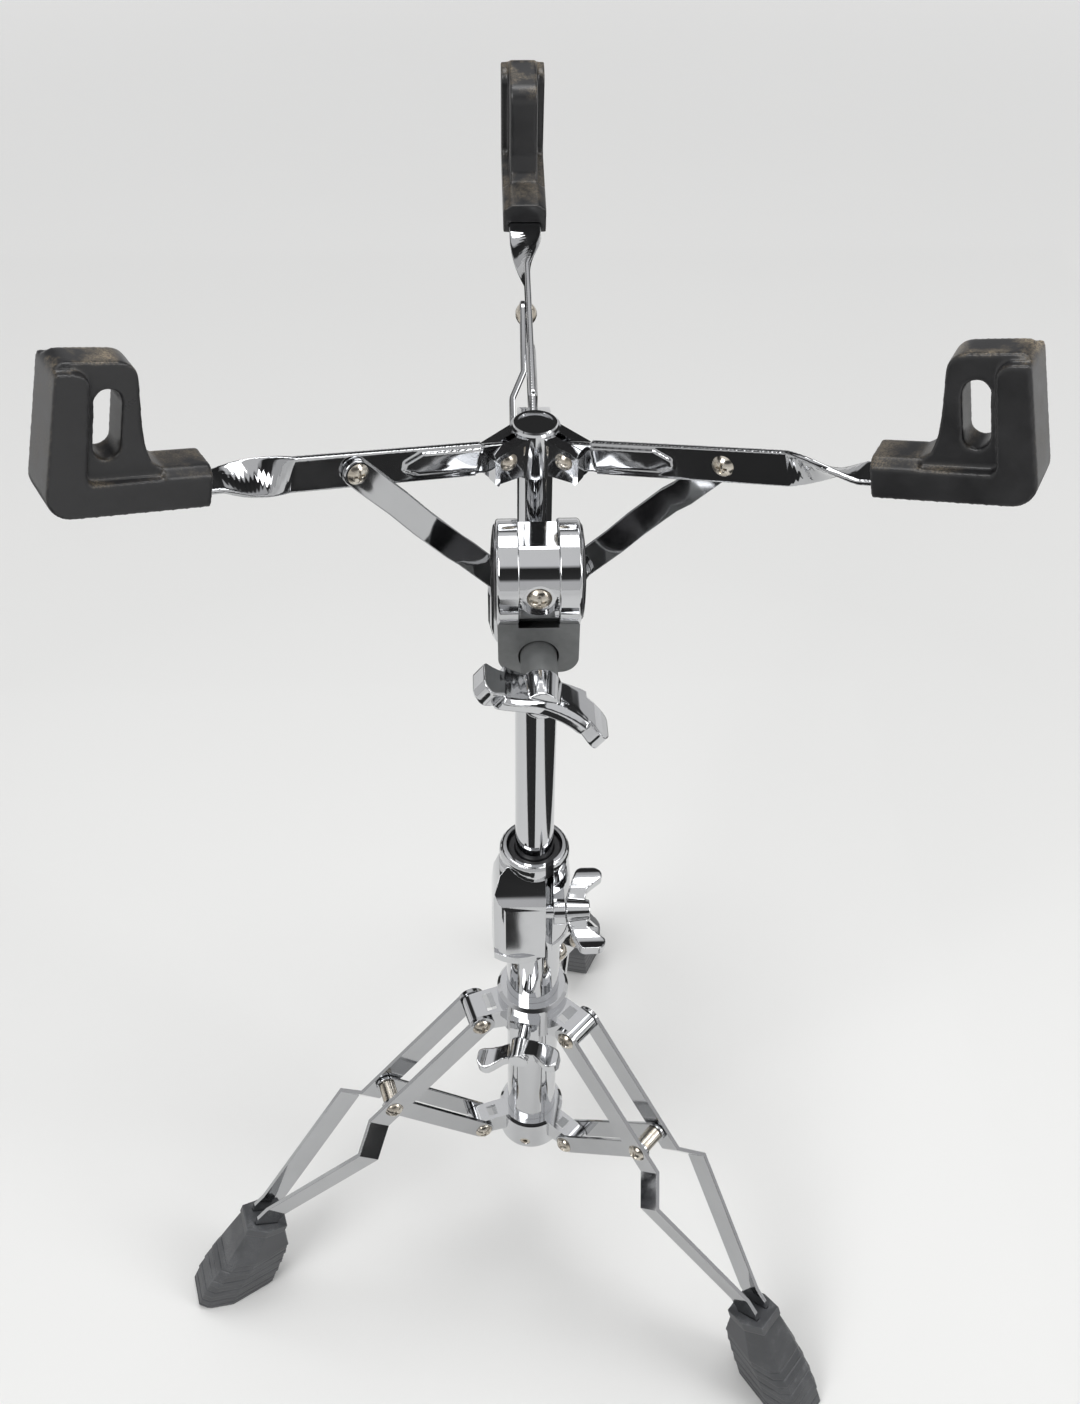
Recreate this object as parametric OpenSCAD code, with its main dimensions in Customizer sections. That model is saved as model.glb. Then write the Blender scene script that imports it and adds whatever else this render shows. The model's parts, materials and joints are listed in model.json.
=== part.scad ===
// Snare drum stand: three-arm basket with rubber grips, drum tilter,
// two-section tube with height clamp, and a double-braced folding tripod.
// Millimetres, +Z up, origin on the floor under the axis of the tubes.

/* [Tubes] */
// Outer diameter of the lower tube
base_d = 28.6; // [22:0.1:38]
// Wall of the lower tube
base_wall = 1.5; // [1:0.1:3]
// Height of the lower end of the lower tube
base_z0 = 82; // [60:1:120]
// Height of the upper end of the lower tube
base_z1 = 333; // [280:1:400]
// Outer diameter of the upper tube
upper_d = 19.05; // [15:0.05:26]
// Wall of the upper tube
upper_wall = 1.5; // [1:0.1:3]
// Height of the lower end of the upper tube
upper_z0 = 240; // [180:1:260]
// Height of the upper end of the upper tube
upper_z1 = 487; // [440:1:520]

/* [Height clamp] */
// Height of the clamp's lower edge
clamp_z0 = 277; // [240:1:300]
// Height of the clamp's top
clamp_z1 = 345; // [330:1:380]
// Height of the clamp's wing bolt
clamp_bolt_z = 318; // [300:0.5:330]
// Place of the wing bolt's axis in front of the tube axis
clamp_bolt_y = -21.5; // [-26:0.5:-20]
// Place of the clamp's slit beside the tube axis
clamp_slit = 5; // [3:0.5:7]
// Height of the bushing's lower end
bush_z0 = 296; // [285:1:320]

/* [Tripod] */
// Turn of the tripod about the tube
tripod_turn = -13; // [-60:1:60]
// Distance of the pivots from the tube axis
pin_r = 33; // [28:0.5:45]
// Height of the lower collar's pivots
collar_z = 103; // [90:1:130]
// Distance between two pivots of a brace, and of a leg's upper part
link = 77.5; // [60:0.5:100]
// Rise of the braces above level
link_a = 46.8; // [35:0.1:60]
// Distance from a leg's upper pivot to its bend at the foot
leg_len = 197; // [150:1:260]
// Bend of the leg's end at the foot
foot_bend = 21; // [0:1:35]
// Height of the collar's lower edge
collar_s0 = 84; // [70:1:90]
// Height of the collar's upper edge
collar_s1 = 109; // [104:1:120]
// Height of the leg casting above and below its pivots
cast_half = 13; // [10:0.5:20]
// Depth of a leg strip
leg_h = 14; // [10:0.5:20]
// Radius of the eye at a leg's upper end
leg_eye = 7.4; // [6:0.1:11]
// Length of a leg's bent end in its foot
tail = 30; // [20:1:40]
// Half width of a rubber foot
foot_wide = 15; // [12:0.5:20]
// Step of each rib of a rubber foot
foot_step = 0.6; // [0.3:0.1:1]
// Thickness of a leg strip
leg_t = 2.2; // [1.5:0.1:4]
// Half distance between the two strips of a leg at its pivots
leg_s = 9.6; // [8:0.1:14]
// Half distance between the two strips of a leg where it is widest
leg_wide = 22; // [12:0.5:30]
// Half distance between the two strips of a leg at the foot
leg_end = 4.6; // [3:0.1:10]
// Depth of a brace strip
brace_h = 12; // [8:0.5:18]
// Thickness of a brace strip
brace_t = 2; // [1.5:0.1:3]
// Diameter of the pivot pins
pin_d = 5; // [3:0.1:8]
// Diameter of the screw heads on the pivots
head_d = 10.4; // [7:0.1:14]

/* [Basket] */
// Distance of the basket's screw behind the tube axis
basket_y = 38; // [30:1:60]
// Diameter of the basket's screw
rod_d = 15; // [10:0.5:20]
// Height of the arms' pivots
hub_z = 551.5; // [520:0.5:600]
// Distance of the arms' pivots from the screw's axis
hub_r = 16; // [12:0.5:24]
// Rise of the arms above level
arm_a = 14; // [0:0.5:40]
// Depth of an arm strip
arm_h = 15; // [10:0.5:20]
// Thickness of an arm strip
arm_t = 2.5; // [1.5:0.1:4]
// Start of an arm's twist, from its pivot
twist_x0 = 95; // [80:1:110]
// End of an arm's twist, from its pivot
twist_x1 = 124; // [112:1:135]
// Distance from an arm's pivot to its strut's pivot
arm_pin = 68.7; // [50:0.1:90]
// Distance of the struts' lower pivots from the screw's axis
strut_r = 20.5; // [16:0.5:30]
// Height of the struts' lower pivots
strut_z = 493; // [470:0.5:520]
// Depth of a strut strip
strut_h = 11.4; // [8:0.1:16]
// Thickness of a strut strip
strut_t = 2.4; // [1.5:0.1:4]
// Length of a rubber grip
tip_len = 58.5; // [50:0.5:70]
// Height of a rubber grip above its arm
tip_high = 51; // [44:0.5:60]
// Depth of a rubber grip below its arm's middle
tip_low = 4.5; // [3:0.1:8]
// Width of a rubber grip
tip_w = 20.4; // [14:0.1:30]
// Width of a rubber grip's web
tip_web = 13; // [8:0.1:16]
// Depth of an arm's end in its grip
tip_seat = 21; // [15:1:30]
// Diameter of the basket nut
nut_d = 42; // [30:1:50]
// Height of the basket nut
nut_h = 35; // [20:1:50]
// Height of the lower end of the basket's screw
rod_z0 = 430; // [400:1:440]
// Height of the hub above and below its pivots
hub_half = 9.5; // [8:0.5:14]

/* [Tilter] */
// Height of the tilter drum's axis
tilt_z = 514.7; // [490:0.1:540]
// Diameter of the tilter drum
drum_d = 44; // [36:0.5:56]
// Half width of the tilter drum
drum_x = 17.4; // [14:0.1:24]
// Half width of the drum's middle block
block_x = 8.1; // [6:0.1:12]
// Radius of the drum's middle block
block_r = 20.6; // [15:0.1:21]
// Height of the tilter's wing nut
tilt_wing_z = 483; // [470:0.5:495]
// Height of the block's lower end, on which the basket nut bears
block_z0 = 483; // [475:0.5:490]
// Height of the block's upper end
block_z1 = 503; // [495:0.5:510]

/* [Fits] */
// Running clearance on the radius between pieces that turn or slide
run_gap = 0.05; // [0.02:0.01:0.1]
// Play on the radius of the struts' lower pivots
open_gap = 1.2; // [0.1:0.1:3]
// Gap between flat pieces that move past each other
side_gap = 0.3; // [0.1:0.05:0.6]

/* [View] */
// Which piece to draw

/* [Hidden] */
$fn = 64;
base_r = base_d / 2;
upper_r = upper_d / 2;
rod_r = rod_d / 2;
mid_r = pin_r + link * cos(link_a);
mid_z = collar_z + link * sin(link_a);
top_z = collar_z + 2 * link * sin(link_a);
arm_pin_r = hub_r + arm_pin * cos(arm_a);
arm_pin_z = hub_z + arm_pin * sin(arm_a);
strut_len = sqrt(pow(arm_pin_r - strut_r, 2) + pow(arm_pin_z - strut_z, 2));
strut_dir = atan2(arm_pin_z - strut_z, arm_pin_r - strut_r);
strut_s0 = arm_t / 2 + side_gap + strut_t / 2;
strut_s1 = 4.4;
strut_wide = 8.2;
tip_x0 = twist_x1 + 6;
tip_x1 = tip_x0 + tip_len;
lip = 8;
ridge = 10.8;
pin_hole = pin_d / 2 + run_gap;
bush_lip_z = base_z1 + side_gap;
cast_z0 = top_z - cast_half;
cast_z1 = top_z + cast_half;
foot_top_r = pin_r + leg_len * cos(link_a);
foot_top_z = top_z - leg_len * sin(link_a);
nut_z1 = block_z0 - side_gap - 0.1;
hub_z0 = hub_z - hub_half - 0.5;
hub_z1 = hub_z + hub_half - 0.5;
ear_s = leg_s - leg_t / 2 - side_gap;
brace_s = ear_s - brace_t / 2;
low_ear_s = brace_s - brace_t / 2 - side_gap;
bush_top_z = clamp_z1 - 4;

// ---- helpers ----

function seg_n(a, b) = let (d = b - a, l = norm(d)) [-d[1] / l, d[0] / l];
function mitre(a, b) = let (m = (a + b) / norm(a + b)) m / (m * a);
function vert_n(p, i) =
  i == 0 ? seg_n(p[0], p[1]) :
  i == len(p) - 1 ? seg_n(p[i - 1], p[i]) :
  mitre(seg_n(p[i - 1], p[i]), seg_n(p[i], p[i + 1]));

// A band of even thickness along a path
module ribbon(p, t) {
  polygon(concat(
    [for (i = [0:len(p) - 1]) p[i] - vert_n(p, i) * t / 2],
    [for (i = [len(p) - 1:-1:0]) p[i] + vert_n(p, i) * t / 2]));
}

// Points on an arc about c, from angle a0 to a1
function arc(c, r, a0, a1, n) = [for (i = [0:n]) let (a = a0 + (a1 - a0) * i / n) c + r * [cos(a), sin(a)]];

// Places an item in one arm's or leg's own radial plane
module spoke(turn, i) {
  rotate([0, 0, 90 + turn + 120 * i]) children();
}

module basket_spoke(i) {
  translate([0, basket_y, 0]) spoke(0, i) children();
}

module leg_spoke(i) {
  spoke(tripod_turn, i) children();
}

// A cylinder along the tangential axis, from s0 to s1
module cross_cyl(r, s0, s1) {
  translate([0, s1, 0]) rotate([90, 0, 0]) cylinder(r = r, h = s1 - s0);
}

// A domed screw head along +Z with a flat seat
module dome_head(d, h) {
  r = (d * d / 4 + h * h) / (2 * h);
  intersection() {
    translate([0, 0, h - r]) sphere(r = r, $fn = 72);
    cylinder(d = d, h = h);
  }
}

// A pivot pin along the tangential axis with a domed head on each end
module pivot_pin(s0, s1, d, hd, hh) {
  cross_cyl(d / 2, s0 - 0.1, s1 + 0.1);
  translate([0, s1, 0]) rotate([-90, 0, 0]) dome_head(hd, hh);
  translate([0, s0, 0]) rotate([90, 0, 0]) dome_head(hd, hh);
}

// Side outline of a wing grip
module wing_side(span, tall, hub_r1, hub_l) {
  half = concat(
    [[0, 0.6], [hub_r1 * 0.9, 0.6]],
    arc([span / 2 - 4, tall * 0.28 + 4], 4, -70, -10, 4),
    arc([span / 2 - 5, tall - 5], 5, 15, 110, 6),
    [[hub_r1 + 2.4, hub_l * 0.9], [hub_r1 * 0.5, hub_l * 0.82], [0, hub_l * 0.82]]);
  polygon(half);
  mirror([1, 0]) polygon(half);
}

// A two-winged grip along +Z: a hub, and wings that sweep opposite ways
module wing_grip(span, tall, hub_r1, hub_l, thick, skew) {
  sweep = thick * 0.62;
  cylinder(r1 = hub_r1, r2 = hub_r1 * 0.82, h = hub_l);
  rotate([0, 0, skew]) intersection() {
    linear_extrude(height = tall + 1)
      ribbon([for (i = [-9:9]) [i * span / 17, sweep * sin(17 * i)]], thick);
    rotate([90, 0, 0]) linear_extrude(height = span, center = true) wing_side(span, tall, hub_r1, hub_l);
  }
}

// ---- tubes and height clamp ----

module base_tube() {
  color([0.82, 0.83, 0.85]) difference() {
    translate([0, 0, base_z0]) cylinder(r = base_r, h = base_z1 - base_z0, $fn = 96);
    translate([0, 0, base_z0 - 1]) cylinder(r = base_r - base_wall, h = base_z1 - base_z0 + 2, $fn = 96);
  }
}

module upper_tube() {
  color([0.82, 0.83, 0.85]) difference() {
    translate([0, 0, upper_z0]) cylinder(r = upper_r, h = upper_z1 - upper_z0, $fn = 96);
    translate([0, 0, upper_z0 - 1])
      cylinder(r = upper_r - upper_wall, h = upper_z1 - upper_z0 + 2, $fn = 96);
  }
}

module height_clamp() {
  color([0.83, 0.84, 0.86]) difference() {
    union() {
      rotate_extrude($fn = 96) polygon([[0, clamp_z0], [17.6, clamp_z0], [18.6, clamp_z0 + 1.4],
        [18.6, clamp_z0 + 6], [17.9, clamp_z0 + 7], [18.4, clamp_z0 + 23], [18.4, clamp_z1 - 23],
        [17.2, clamp_z1 - 10], [17.6, clamp_z1 - 5], [17.4, clamp_z1 - 2.4], [16.4, clamp_z1 - 0.6],
        [15.2, clamp_z1], [0, clamp_z1]]);
      clamp_front();
      translate([clamp_slit + 4, clamp_bolt_y, clamp_bolt_z]) rotate([0, 90, 0]) cylinder(r = 6.8, h = 5.5);
      translate([clamp_slit + 4, clamp_bolt_y, clamp_bolt_z - 6.2]) cube([5.5, 20, 12.4]);
    }
    translate([0, 0, clamp_z0 - 1]) cylinder(r = base_r + run_gap, h = base_z1 - clamp_z0 + 1.2, $fn = 96);
    translate([0, 0, base_z1]) cylinder(r = 13.9, h = clamp_z1 - base_z1 + 8, $fn = 96);
    translate([clamp_slit, clamp_bolt_y - 18, clamp_z0 - 1]) cube([4, 32, clamp_z1 - clamp_z0 + 22]);
    translate([-14, clamp_bolt_y, clamp_bolt_z]) rotate([0, 90, 0]) cylinder(r = 3.5 + run_gap, h = 40);
  }
}

module clamp_front() {
  face = clamp_bolt_y - 4;
  low = clamp_z0 + 6.5;
  high = clamp_bolt_z + 6;
  intersection() {
    rotate([90, 0, 0]) linear_extrude(height = 60, center = true) polygon([
      [-19.5, low], [clamp_slit, low], [clamp_slit, clamp_z1 - 4], [-14, clamp_z1 - 4],
      [-17.6, high + 14], [-20.4, high + 7], [-21.6, high - 4], [-21.8, low + 9], [-21.2, low + 3]]);
    rotate([90, 0, 90]) linear_extrude(height = 60, center = true) polygon([
      [0, low], [face + 1.5, low], [face, low + 2], [face, high - 1], [face + 0.8, high + 1.6],
      [face + 4, high + 7], [-16, clamp_z1 - 8], [-12, clamp_z1 - 4], [0, clamp_z1 - 4]]);
    linear_extrude(height = clamp_z1) polygon([
      [-22, 4], [-22, face + 10], [-20.8, face + 5], [-18.4, face + 1.8], [-15, face],
      [clamp_slit, face], [clamp_slit, 4]]);
  }
  intersection() {
    translate([-8, face + 20.5, low - 1]) cylinder(r = 22, h = 5, $fn = 96);
    translate([-21, face - 4, low - 2]) cube([21 + clamp_slit, 24, 10]);
  }
}

module clamp_bushing() {
  color([0.09, 0.09, 0.1]) rotate_extrude($fn = 96) polygon([
    [upper_r + run_gap, bush_z0], [base_r - base_wall - run_gap, bush_z0],
    [base_r - base_wall - run_gap, bush_lip_z], [13.9 - run_gap, bush_lip_z],
    [13.9 - run_gap, bush_top_z], [12.6, bush_top_z + 1.5], [upper_r + run_gap + 0.6, bush_top_z + 1.5],
    [upper_r + run_gap, bush_top_z + 0.6]]);
}

module clamp_wing_bolt() {
  color([0.83, 0.84, 0.86]) translate([clamp_slit, clamp_bolt_y, clamp_bolt_z]) rotate([0, 90, 0]) {
    translate([0, 0, -18]) cylinder(r = 3.5, h = 30);
    translate([0, 0, 10]) wing_grip(44, 19, 6.5, 12, 6, 98);
  }
}

// ---- tripod ----

// Where a line from p touches the lower side of a circle at c
function touch(p, c, r) =
  let (v = p - c, a = atan2(v[1], v[0]) + acos(r / norm(v))) c + r * [cos(a), sin(a)];

// Side outline of an ear: a round nose about the pin and a web that falls to the body
module ear_side(r_in, z, low) {
  nose = pin_d / 2 + 3.7;
  root = [r_in, z - low];
  translate([pin_r, z]) circle(r = nose);
  polygon([root, touch(root, [pin_r, z], nose), [pin_r, z], [pin_r, z + nose], [r_in, z + nose]]);
}

module ear(r_in, half, z, low) {
  difference() {
    rotate([90, 0, 0]) linear_extrude(height = 2 * half, center = true) ear_side(r_in, z, low);
    translate([r_in + 7, -half + 2.6, z - low - 1]) cube([pin_r - r_in - 12, 2 * half - 5.2, low + 20]);
    translate([pin_r, 0, z]) cross_cyl(pin_hole, -half - 1, half + 1);
  }
}

module lower_collar() {
  color([0.8, 0.81, 0.83]) difference() {
    union() {
      rotate_extrude($fn = 96) polygon([[0, collar_s0], [18, collar_s0], [19, collar_s0 + 1],
        [19, collar_s1 - 1.6], [17.4, collar_s1], [0, collar_s1]]);
      for (i = [0:2]) leg_spoke(i) ear(15.5, low_ear_s, collar_z, 9);
    }
    translate([0, 0, collar_s0 - 1]) cylinder(r = base_r + run_gap, h = 60, $fn = 96);
    set_screw_place() translate([0, 0, -2]) cylinder(r = 3 + run_gap, h = 12, $fn = 32);
  }
}

module set_screw_place() {
  spoke(tripod_turn, 1.5) translate([base_r + run_gap, 0, collar_s0 + 7]) rotate([0, 90, 0]) children();
}

module collar_set_screw() {
  color([0.6, 0.6, 0.6]) set_screw_place() difference() {
    cylinder(r = 3, h = 4.4, $fn = 32);
    translate([0, 0, 2.6]) cylinder(r = 1.5, h = 3, $fn = 6);
  }
}

module collar_pins() {
  color([0.8, 0.79, 0.76]) for (i = [0:2]) leg_spoke(i) translate([pin_r, 0, collar_z])
    pivot_pin(-brace_s - brace_t / 2 - 0.05, brace_s + brace_t / 2 + 0.05, pin_d, head_d, 3);
}

module leg_casting() {
  color([0.8, 0.81, 0.83]) difference() {
    union() {
      rotate_extrude($fn = 96) polygon([[0, cast_z0], [18.6, cast_z0], [19.6, cast_z0 + 1],
        [19.6, cast_z1 - 2], [18, cast_z1], [0, cast_z1]]);
      for (i = [0:2]) leg_spoke(i) ear(15.5, ear_s, top_z, 10);
      spoke(tripod_turn, 1.5) translate([14, -8, cast_z0 + 2]) cube([10, 16, 19]);
    }
    translate([0, 0, cast_z0 - 1]) cylinder(r = base_r + run_gap, h = 60, $fn = 96);
    cast_bolt_place() translate([0, 0, -2]) cylinder(r = 3.5 + run_gap, h = 14, $fn = 48);
  }
}

module cast_bolt_place() {
  spoke(tripod_turn, 1.5) translate([base_r + 0.3, 0, top_z - 3]) rotate([0, 90, 0]) children();
}

module leg_wing_bolt() {
  color([0.83, 0.84, 0.86]) cast_bolt_place() {
    cylinder(r = 3.5, h = 20, $fn = 48);
    translate([0, 0, 15]) wing_grip(46, 17, 6.5, 12, 6, 98);
  }
}

module casting_pins() {
  color([0.8, 0.79, 0.76]) for (i = [0:2]) leg_spoke(i) translate([pin_r, 0, top_z])
    pivot_pin(-leg_s - leg_t / 2 - 0.05, leg_s + leg_t / 2 + 0.05, pin_d, head_d, 3);
}

// Side outline of a leg strip, along the leg
module leg_outline() {
  circle(r = leg_eye, $fn = 64);
  ribbon([[0, 0], [leg_len, 0], [leg_len + tail * cos(foot_bend), -tail * sin(foot_bend)]], leg_h);
}

function leg_path() = [
  [-leg_h, leg_s], [link + 14, leg_s], [link + 29, leg_wide],
  [leg_len - 8, leg_end], [leg_len + tail + 20, leg_end]
];

module leg_frame(i) {
  leg_spoke(i) translate([pin_r, 0, top_z]) rotate([0, link_a, 0]) children();
}

module leg_strip(i, side) {
  color([0.82, 0.83, 0.85]) leg_frame(i) difference() {
    intersection() {
      mirror([0, side < 0 ? 1 : 0, 0]) linear_extrude(height = 120, center = true) ribbon(leg_path(), leg_t);
      rotate([90, 0, 0]) linear_extrude(height = 120, center = true) leg_outline();
    }
    cross_cyl(pin_hole, -30, 30);
    translate([link, 0, 0]) cross_cyl(pin_hole, -30, 30);
  }
}

module leg_pin(i) {
  color([0.8, 0.79, 0.76]) leg_frame(i) translate([link, 0, 0]) {
    pivot_pin(-leg_s - leg_t / 2, leg_s + leg_t / 2, pin_d, head_d, 3);
    cross_cyl(4.6, -low_ear_s, low_ear_s);
  }
}

module brace_strip(i, side) {
  color([0.82, 0.83, 0.85]) leg_spoke(i) translate([pin_r, side * brace_s, collar_z])
    rotate([0, -link_a, 0]) difference() {
      union() {
        cross_cyl(brace_h / 2, -brace_t / 2, brace_t / 2);
        translate([link, 0, 0]) cross_cyl(brace_h / 2, -brace_t / 2, brace_t / 2);
        translate([0, -brace_t / 2, -brace_h / 2]) cube([link, brace_t, brace_h]);
      }
      cross_cyl(pin_hole, -9, 9);
      translate([link, 0, 0]) cross_cyl(pin_hole, -9, 9);
    }
}

// Inner and outer reach of a foot at height z
function foot_out(z) = foot_top_r
  + lookup(z, [[0, 51.1], [3, 52.6], [14, 47.6], [23.5, 42.6], [33, 36.6], [42.6, 29.2]]);
function foot_in(z) = foot_top_r
  + lookup(z, [[0, 9.1], [3, 6.6], [14, 2.6], [23.5, -0.9], [33, -4.4], [42.6, -7.4]]);

// Plan of a foot: a blunt nose, bevelled sides and a narrow heel
module foot_plan(z, grow) {
  r0 = foot_in(z) - grow;
  r1 = foot_out(z) + grow;
  w = foot_wide + grow;
  mid = r0 + (r1 - r0) * 0.56;
  translate([0, 0, z]) linear_extrude(height = 0.4) polygon([
    [r0, -0.6 * w], [mid, -w], [r1 - 4.5, -0.86 * w], [r1, -0.62 * w],
    [r1, 0.62 * w], [r1 - 4.5, 0.86 * w], [mid, w], [r0, 0.6 * w]]);
}

// The foot's upper end, square to the leg's bent end, from x0 along it
module foot_collar(x0, len, half_h, half_w) {
  translate([foot_top_r, 0, foot_top_z]) rotate([0, link_a + foot_bend, 0]) rotate([0, 90, 0])
    translate([0, 0, x0]) linear_extrude(height = len) polygon([
      [-half_h, -0.72 * half_w], [0, -half_w], [half_h, -0.72 * half_w],
      [half_h, 0.72 * half_w], [0, half_w], [-half_h, 0.72 * half_w]]);
}

module foot(i) {
  rib_z = [3, 14, 23.5, 33, 42.6];
  color([0.2, 0.2, 0.21]) leg_spoke(i) difference() {
    union() {
      hull() {
        foot_plan(0, -0.5);
        foot_plan(rib_z[0], 0);
        foot_plan(rib_z[1], 0);
      }
      for (k = [1:3]) hull() {
        foot_plan(rib_z[k], foot_step);
        foot_plan(rib_z[k + 1], 0);
      }
      hull() {
        foot_plan(rib_z[4], foot_step);
        foot_collar(7, 0.5, 11, 10.5);
      }
      foot_collar(4, 6, 12.4, 11.6);
    }
    leg_frame_local() for (s = [-1, 1]) translate([leg_len, s * leg_end, 0]) rotate([0, foot_bend, 0])
      translate([-6, -leg_t / 2 - run_gap, -leg_h / 2 - run_gap])
        cube([tail + 6 + run_gap, leg_t + 2 * run_gap, leg_h + 2 * run_gap]);
  }
}

module leg_frame_local() {
  translate([pin_r, 0, top_z]) rotate([0, link_a, 0]) children();
}

// ---- tilter ----

module x_cyl(r, x0, x1) {
  translate([x0, 0, tilt_z]) rotate([0, 90, 0]) cylinder(r = r, h = x1 - x0, $fn = 96);
}

module tilter_base() {
  color([0.47, 0.48, 0.49]) difference() {
    union() {
      translate([-17, -17, 474]) cube([34, 29, 27.5]);
      translate([0, 0, 466]) cylinder(r = 12.4, h = 10);
    }
    x_cyl(drum_d / 2 + run_gap, -30, 30);
    x_cyl(23.4, -block_x - 0.4, block_x + 0.4);
    for (s = [-1, 1]) translate([s * 17, -30, 474]) rotate([-90, 0, 0]) difference() {
      translate([-8, -8, 0]) cube([16, 16, 60]);
      translate([-s * 8, -8, -1]) cylinder(r = 8, h = 62, $fn = 48);
    }
    translate([0, 0, 460]) cylinder(r = upper_r + run_gap, h = upper_z1 - 460, $fn = 96);
    translate([0, -11, tilt_wing_z]) rotate([90, 0, 0]) cylinder(r = 8.6, h = 20);
  }
}

module tilter_sleeve() {
  color([0.5, 0.51, 0.52]) translate([0, -11, tilt_wing_z]) rotate([90, 0, 0]) cylinder(r = 7.7, h = 23);
}

module tilter_wing_nut() {
  color([0.83, 0.84, 0.86]) translate([0, -34, tilt_wing_z]) rotate([90, 0, 0])
    wing_grip(60, 22, 8.6, 14, 7.5, -38);
}

module tilter_drum() {
  color([0.83, 0.84, 0.86]) for (s = [0, 1]) mirror([s, 0, 0]) difference() {
    translate([0, 0, tilt_z]) rotate([0, 90, 0]) rotate_extrude($fn = 96) polygon([
      [0, block_x], [drum_d / 2, block_x], [drum_d / 2, drum_x - 0.8],
      [drum_d / 2 - 0.8, drum_x], [0, drum_x]]);
    x_cyl(4, block_x - 1, block_x + 3);
  }
}

module tilter_caps() {
  edge = drum_d / 2 - 2;
  color([0.5, 0.5, 0.52]) for (s = [-1, 1]) translate([s * drum_x, 0, tilt_z]) rotate([0, s * 90, 0])
    rotate_extrude($fn = 96) polygon([
      [0, 0], [edge, 0], [edge, 0.5], [edge - 0.8, 1], [edge * 0.75, 1.6],
      [edge * 0.5, 2.05], [edge * 0.25, 2.3], [0, 2.4]
    ]);
}

module strut_place(i) {
  basket_spoke(i) translate([strut_r, 0, strut_z]) children();
}

module tilter_block() {
  color([0.83, 0.84, 0.86]) difference() {
    union() {
      difference() {
        x_cyl(block_r, -block_x, block_x);
        translate([-block_x - 1, -8, tilt_z + 17]) cube([2 * block_x + 2, 40, 10]);
      }
      translate([-block_x, 0, block_z1 - 6.4]) cube([2 * block_x, 26, 6.4]);
      translate([-block_x, 17.5, block_z1 - 14]) cube([2 * block_x, 14, 14]);
      translate([0, basket_y, block_z0]) cylinder(r = 13.4, h = block_z1 - block_z0, $fn = 96);
      for (i = [0:2]) strut_place(i) {
        cross_cyl(6, 0, strut_s1 - strut_t / 2 - side_gap);
        translate([-12, 0, -6]) cube([12, strut_s1 - strut_t / 2 - side_gap, 12]);
      }
    }
    translate([0, basket_y, block_z0 - 1]) cylinder(r = rod_r + run_gap, h = 40, $fn = 96);
    translate([0, 0, tilt_z]) rotate([90, 0, 0]) translate([0, 0, 18]) cylinder(r = 7.4, h = 20);
    translate([0, 0, tilt_z]) rotate([90, 0, 0]) cylinder(r = 3 + run_gap, h = 30);
    for (i = [0:2]) strut_place(i) cross_cyl(pin_hole, -3, 20);
  }
}

module tilter_screw() {
  color([0.78, 0.78, 0.78]) translate([0, 0, tilt_z]) rotate([90, 0, 0]) {
    translate([0, 0, 4]) cylinder(r = 3, h = 14.1);
    translate([0, 0, 18]) difference() {
      dome_head(10.4, 3);
      for (a = [0, 90]) rotate([0, 0, a]) translate([-3, -0.5, 1.4]) cube([6, 1, 3]);
    }
  }
}

module block_pins() {
  color([0.8, 0.79, 0.76]) for (i = [0:2]) strut_place(i) {
    cross_cyl(pin_d / 2, 1, strut_s1 + strut_t / 2 + 0.2);
    translate([0, strut_s1 + strut_t / 2 + 0.1, 0]) rotate([-90, 0, 0]) dome_head(head_d, 2.8);
  }
}

// ---- basket ----

module basket_nut() {
  color([0.8, 0.81, 0.83]) translate([0, basket_y, 0]) difference() {
    rotate_extrude($fn = 96) polygon([[0, nut_z1 - nut_h], [nut_d / 2 - 6, nut_z1 - nut_h],
      [nut_d / 2 - 1.5, nut_z1 - nut_h + 5], [nut_d / 2, nut_z1 - nut_h + 12], [nut_d / 2, nut_z1 - 5],
      [nut_d / 2 - 3, nut_z1 - 1.5], [12, nut_z1], [0, nut_z1]]);
    translate([0, 0, nut_z1 - nut_h - 1]) cylinder(r = rod_r + run_gap, h = nut_h + 2, $fn = 96);
    for (a = [0:30:330]) rotate([0, 0, a]) translate([nut_d / 2 + 2, 0, nut_z1 - nut_h - 1])
      cylinder(r = 3.4, h = nut_h + 2, $fn = 32);
  }
}

module basket_screw() {
  color([0.82, 0.83, 0.85]) translate([0, basket_y, rod_z0])
    cylinder(r = rod_r, h = hub_z1 - rod_z0, $fn = 96);
}

module basket_hub() {
  color([0.83, 0.84, 0.86]) difference() {
    union() {
      translate([0, basket_y, hub_z0]) cylinder(r = 10.4, h = hub_z1 - hub_z0, $fn = 96);
      for (i = [0:2]) basket_spoke(i) translate([0, 0, hub_z]) {
        cross_ear(-1);
        cross_ear(1);
      }
    }
    translate([0, basket_y, hub_z0 - 1]) cylinder(r = rod_r + run_gap, h = 40, $fn = 96);
    for (i = [0:2]) basket_spoke(i) {
      translate([hub_r, 0, hub_z]) cross_cyl(pin_hole - 0.5, -9, 9);
      translate([8.6, -arm_t / 2 - side_gap, hub_z0 - 1]) cube([30, arm_t + 2 * side_gap, 40]);
    }
  }
}

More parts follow.
